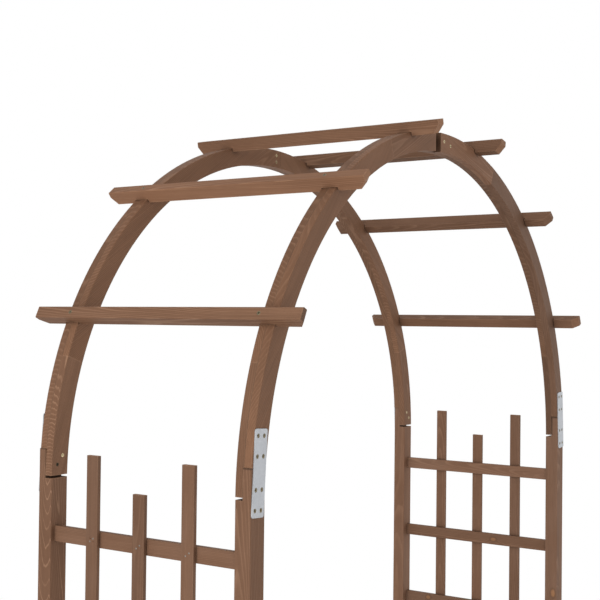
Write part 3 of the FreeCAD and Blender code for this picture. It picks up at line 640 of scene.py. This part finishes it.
def makeFastenerTree():
    tree = bpy.data.node_groups.new("drivenFasteners", "GeometryNodeTree")
    face = tree.interface
    face.new_socket("Geometry", in_out="INPUT", socket_type="NodeSocketGeometry")
    for label in ("Head Width", "Shank Width", "Length", "Head Depth", "Rim", "Dome", "Point",
                  "Recess Width", "Recess Thick", "Recess Depth"):
        face.new_socket(label, in_out="INPUT", socket_type="NodeSocketFloat")
    face.new_socket("Segments", in_out="INPUT", socket_type="NodeSocketInt")
    face.new_socket("Turn Seed", in_out="INPUT", socket_type="NodeSocketInt")
    face.new_socket("Cross Recess", in_out="INPUT", socket_type="NodeSocketBool")
    face.new_socket("Finish", in_out="INPUT", socket_type="NodeSocketMaterial")
    face.new_socket("Geometry", in_out="OUTPUT", socket_type="NodeSocketGeometry")
    given = tree.nodes.new("NodeGroupInput").outputs
    wanted = tree.nodes.new("NodeGroupOutput").inputs

    # a flat grid rolled up: its rows follow the profile, its columns go round
    rows = fastenerProfile(tree, given)
    columns = calc(tree, "ADD", given["Segments"], 1.0)
    grid = put(tree, "GeometryNodeMeshGrid", {"Size X": 1.0, "Size Y": 1.0, "Vertices X": len(rows),
                                              "Vertices Y": columns})
    flat = put(tree, "GeometryNodeInputPosition").outputs[0]
    spot = put(tree, "ShaderNodeSeparateXYZ", {0: flat}).outputs
    row = calc(tree, "ROUND", calc(tree, "MULTIPLY", calc(tree, "ADD", spot[0], 0.5), float(len(rows) - 1)))
    angle = calc(tree, "MULTIPLY", spot[1], 2 * math.pi)
    radius = indexSwitch(tree, row, [pair[0] for pair in rows])
    level = indexSwitch(tree, row, [pair[1] for pair in rows])
    rolled = put(tree, "ShaderNodeCombineXYZ", {
        0: calc(tree, "MULTIPLY", radius, calc(tree, "COSINE", angle)),
        1: calc(tree, "MULTIPLY", radius, calc(tree, "SINE", angle)), 2: level}).outputs[0]
    turned = put(tree, "GeometryNodeSetPosition", {"Geometry": grid.outputs[0],
                                                   "Position": rolled}).outputs[0]
    body = put(tree, "GeometryNodeMergeByDistance", {"Geometry": turned,
                                                     "Distance": headShape["weld"]}).outputs[0]

    # cross recess, cut as two bars
    deep = calc(tree, "MULTIPLY", given["Recess Depth"], 2.0)
    cutBody = body
    for first, second in (("Recess Width", "Recess Thick"), ("Recess Thick", "Recess Width")):
        size = put(tree, "ShaderNodeCombineXYZ", {0: given[first], 1: given[second], 2: deep}).outputs[0]
        bar = put(tree, "GeometryNodeMeshCube", {"Size": size}).outputs[0]
        cutter = put(tree, "GeometryNodeMeshBoolean", operation="DIFFERENCE", solver="EXACT")
        tree.links.new(cutBody, cutter.inputs["Mesh 1"])
        tree.links.new(bar, cutter.inputs["Mesh 2"])
        cutBody = cutter.outputs[0]
    chosen = put(tree, "GeometryNodeSwitch", input_type="GEOMETRY")
    feed(tree, chosen.inputs["Switch"], given["Cross Recess"])
    feed(tree, chosen.inputs["False"], body)
    feed(tree, chosen.inputs["True"], cutBody)

    # each point's own axis, and a turn of the head drawn for each point
    axis = put(tree, "GeometryNodeInputNamedAttribute", {"Name": "axis"}, data_type="FLOAT_VECTOR")
    aimed = put(tree, "FunctionNodeAlignRotationToVector", {"Vector": axis.outputs[0]}, axis="Z").outputs[0]
    spin = put(tree, "FunctionNodeRandomValue", data_type="FLOAT")
    spinValue = [socket for socket in spin.outputs if socket.type == "VALUE" and socket.enabled][0]
    for socket in spin.inputs:
        if socket.type == "VALUE" and socket.name == "Max":
            socket.default_value = 2 * math.pi
        if socket.name == "Seed":
            feed(tree, socket, given["Turn Seed"])
    twist = put(tree, "FunctionNodeAxisAngleToRotation", {"Axis": (0, 0, 1), "Angle": spinValue}).outputs[0]
    facing = put(tree, "FunctionNodeRotateRotation", {0: aimed, 1: twist}, rotation_space="LOCAL")
    spread = put(tree, "GeometryNodeInstanceOnPoints", {"Points": given["Geometry"],
                                                        "Instance": chosen.outputs[0],
                                                        "Rotation": facing.outputs[0]}).outputs[0]
    solid = put(tree, "GeometryNodeRealizeInstances", {"Geometry": spread}).outputs[0]
    finished = put(tree, "GeometryNodeSetMaterial", {"Geometry": solid, "Material": given["Finish"]})
    feed(tree, wanted["Geometry"], finished.outputs[0])
    return tree


fastenerTree = makeFastenerTree()


def driveFasteners(name, node, points, values, metal, darkened=()):
    mesh = bpy.data.meshes.new(name)
    mesh.from_pydata([place for place, axis in points], [], [])
    axes = mesh.attributes.new("axis", "FLOAT_VECTOR", "POINT")
    for item, (place, axis) in zip(axes.data, points):
        item.vector = axis
    marks = mesh.attributes.new("darkened", "FLOAT", "POINT")
    for index in darkened:
        marks.data[index].value = 1.0
    piece = bpy.data.objects.new(name, mesh)
    scene.collection.objects.link(piece)
    modifier = piece.modifiers.new("drive", "NODES")
    modifier.node_group = fastenerTree
    socketId = {item.name: item.identifier for item in fastenerTree.interface.items_tree
                if item.in_out == "INPUT"}
    for label, value in values.items():
        modifier[socketId[label]] = value
    modifier[socketId["Finish"]] = metal
    bpy.context.view_layer.update()
    solid = bpy.data.meshes.new_from_object(piece.evaluated_get(bpy.context.evaluated_depsgraph_get()))
    piece.modifiers.remove(modifier)
    piece.data = solid
    shell = bmesh.new()
    shell.from_mesh(solid)
    bmesh.ops.recalc_face_normals(shell, faces=shell.faces)
    shell.to_mesh(solid)
    shell.free()
    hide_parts(node)
    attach(piece, "root")
    print(name + ":", len(points), "driven,", len(solid.polygons), "faces")


# sizes and places in metres, as on the frame
plateScrews = {
    "centreX": 0.726, "centreZ": 1.497, "face": 0.2595, "lean": 3.5,
    "rows": (0.065, 0.029, -0.029, -0.065), "columns": (-0.009, 0.009),
    "sunk": 0.0003,      # heads sit this far under the plate's face
    "fastener": {"Head Width": 0.0078, "Shank Width": 0.004, "Length": 0.0157, "Head Depth": 0.0016,
                 "Rim": 0.0001, "Dome": -0.0009, "Point": 0.004,
                 "Recess Width": 0.0042, "Recess Thick": 0.0012, "Recess Depth": 0.0019,
                 "Segments": 20, "Turn Seed": 3, "Cross Recess": True},
}
lapScrews = {
    "postFace": 0.2235, "postSpots": ((0.720, 1.493), (0.734, 1.476)),
    "darkenedPost": (3,),      # the lower screw of the rear left post
    "crownOuterFace": 0.2575, "crownOuterSpots": ((-0.012, 2.176), (0.020, 2.170)),
    "crownInnerSpots": ((0.013, 2.181), (0.013, 2.165)),
    "fastener": {"Head Width": 0.0075, "Shank Width": 0.004, "Length": 0.030, "Head Depth": 0.0022,
                 "Rim": 0.0002, "Dome": 0.0, "Point": 0.006,
                 "Recess Width": 0.0042, "Recess Thick": 0.0011, "Recess Depth": 0.0014,
                 "Segments": 20, "Turn Seed": 8, "Cross Recess": True},
}
slatScrews = {
    "radius": 0.772, "centreZ": 1.445, "line": 0.232, "angles": (12.5, 38.5, 64.5),
    "fastener": {"Head Width": 0.008, "Shank Width": 0.0045, "Length": 0.045, "Head Depth": 0.0024,
                 "Rim": 0.0002, "Dome": 0.0, "Point": 0.007,
                 "Recess Width": 0.0046, "Recess Thick": 0.0012, "Recess Depth": 0.0016,
                 "Segments": 20, "Turn Seed": 5, "Cross Recess": True},
}
paleBrads = {
    "face": 0.748, "paleLines": (-0.117, 0.0, 0.117), "side": 0.004, "rise": 0.003,
    "topRail": 1.3415, "railStep": 0.200, "railCount": 7,
    "fastener": {"Head Width": 0.0034, "Shank Width": 0.0016, "Length": 0.018, "Head Depth": 0.001,
                 "Rim": 0.0002, "Dome": 0.0003, "Point": 0.002,
                 "Segments": 10, "Turn Seed": 2, "Cross Recess": False},
}


def plateScrewPoints(values):
    lean = math.radians(values["lean"])
    depth = values["face"] - values["sunk"]
    points = []
    for side in (-1, 1):
        for front in (-1, 1):
            for row in values["rows"]:
                for column in values["columns"]:
                    inward = row * math.sin(lean) + column * math.cos(lean)
                    height = values["centreZ"] + row * math.cos(lean) - column * math.sin(lean)
                    place = (side * (values["centreX"] - inward), front * depth, height)
                    points.append((place, (0, front, 0)))
    return points


def postLapPoints(values):
    return [((side * x, front * values["postFace"], z), (0, -front, 0))
            for side in (-1, 1) for front in (-1, 1) for x, z in values["postSpots"]]


def crownPoints(values):
    outer = [((x, front * values["crownOuterFace"], z), (0, front, 0))
             for front in (-1, 1) for x, z in values["crownOuterSpots"]]
    inner = [((x, front * values["postFace"], z), (0, -front, 0))
             for front in (-1, 1) for x, z in values["crownInnerSpots"]]
    return outer + inner


def slatScrewPoints(values):
    points = []
    for side in (-1, 1):
        for angle in values["angles"]:
            out = Vector((side * math.sin(math.radians(angle)), 0, math.cos(math.radians(angle))))
            for front in (-1, 1):
                place = out * values["radius"] + Vector((0, front * values["line"], values["centreZ"]))
                points.append((place, out))
    return points


def bradPoints(values):
    points = []
    for side in (-1, 1):
        for line in values["paleLines"]:
            for rail in range(values["railCount"]):
                level = values["topRail"] - rail * values["railStep"]
                for sign in (-1, 1):
                    along = line + sign * values["side"]
                    height = level - sign * values["rise"]
                    points.append(((side * values["face"], along, height), (side, 0, 0)))
    return points


driveFasteners("plateScrews", "plate_screws", plateScrewPoints(plateScrews),
               plateScrews["fastener"], metals["bronzeZincScrew"])
driveFasteners("postLapScrews", "post_lap_screws", postLapPoints(lapScrews),
               lapScrews["fastener"], metals["yellowZincScrew"], lapScrews["darkenedPost"])
driveFasteners("crownLapScrews", "crown_lap_screws", crownPoints(lapScrews),
               lapScrews["fastener"], metals["yellowZincScrew"])
driveFasteners("slatScrews", "slat_screws", slatScrewPoints(slatScrews),
               slatScrews["fastener"], metals["bronzeZincScrew"])
driveFasteners("paleBrads", "pale_nails", bradPoints(paleBrads),
               paleBrads["fastener"], metals["dullSteelBrad"])

# studio: pale floor, white surround, soft lamps
studio = {
    "floorSize": 120.0, "floorColour": colour(0.86, 0.86, 0.86), "floorGlow": 0.22,
    "whiteFrom": 1.8, "whiteTo": 3.6, "ambient": 0.50,
    "sun": {"from": (-0.95, -0.16, 0.06), "strength": 1.58, "angle": 70},
    "lamps": {
        "fillFront": {"place": (3.0, -3.2, 1.9), "aim": (0.5, 0, 1.5), "size": 2.5, "power": 22},
        "kickLow": {"place": (-3.6, -0.9, 0.4), "aim": (0.2, 0, 2.1), "size": 2.4, "power": 46},
    },
}


def raysThatShow(tree):
    rays = put(tree, "ShaderNodeLightPath").outputs
    shown = calc(tree, "MAXIMUM", rays["Is Camera Ray"], rays["Is Glossy Ray"])
    return calc(tree, "MAXIMUM", shown, rays["Is Transmission Ray"])


def makeFloor(values):
    half = values["floorSize"] / 2
    mesh = bpy.data.meshes.new("studioFloor")
    corners = [(-half, -half, 0), (half, -half, 0), (half, half, 0), (-half, half, 0)]
    mesh.from_pydata(corners, [], [(0, 1, 2, 3)])
    floor = bpy.data.objects.new("studioFloor", mesh)
    scene.collection.objects.link(floor)
    material = bpy.data.materials.new("studioFloor")
    material.use_nodes = True
    tree = material.node_tree
    tree.nodes.clear()
    coords = put(tree, "ShaderNodeTexCoord").outputs["Object"]
    shown = raysThatShow(tree)
    far = ease(tree, vecCalc(tree, "LENGTH", coords), values["whiteFrom"], values["whiteTo"])
    paint = put(tree, "ShaderNodeBsdfDiffuse", {"Color": values["floorColour"]}).outputs[0]
    glow = calc(tree, "MULTIPLY", shown, values["floorGlow"])
    lift = put(tree, "ShaderNodeEmission", {"Strength": glow}).outputs[0]
    near = put(tree, "ShaderNodeAddShader", {0: paint, 1: lift}).outputs[0]
    white = put(tree, "ShaderNodeEmission", {"Strength": 1.0}).outputs[0]
    fade = calc(tree, "MULTIPLY", shown, far)
    blend = put(tree, "ShaderNodeMixShader", {0: fade, 1: near, 2: white}).outputs[0]
    put(tree, "ShaderNodeOutputMaterial", {"Surface": blend})
    mesh.materials.append(material)


def makeSurround(values):
    world = bpy.data.worlds.new("studioSurround")
    scene.world = world
    world.use_nodes = True
    tree = world.node_tree
    tree.nodes.clear()
    pale = colour(1, 1, 1)
    soft = put(tree, "ShaderNodeBackground", {"Color": pale, "Strength": values["ambient"]}).outputs[0]
    white = put(tree, "ShaderNodeBackground", {"Color": pale, "Strength": 1.0}).outputs[0]
    blend = put(tree, "ShaderNodeMixShader", {0: raysThatShow(tree), 1: soft, 2: white}).outputs[0]
    put(tree, "ShaderNodeOutputWorld", {"Surface": blend})


def hangLamps(sun, lamps):
    data = bpy.data.lights.new("keySun", "SUN")
    data.energy = sun["strength"]
    data.angle = math.radians(sun["angle"])
    key = bpy.data.objects.new("keySun", data)
    key.rotation_euler = (-Vector(sun["from"])).to_track_quat("-Z", "Y").to_euler()
    scene.collection.objects.link(key)
    for name, values in lamps.items():
        data = bpy.data.lights.new(name, "AREA")
        data.energy = values["power"]
        data.size = values["size"]
        lamp = bpy.data.objects.new(name, data)
        lamp.location = values["place"]
        aim = Vector(values["aim"]) - Vector(values["place"])
        lamp.rotation_euler = aim.to_track_quat("-Z", "Y").to_euler()
        lamp.visible_camera = False
        scene.collection.objects.link(lamp)


makeFloor(studio)
makeSurround(studio)
hangLamps(studio["sun"], studio["lamps"])
print("studio lit")
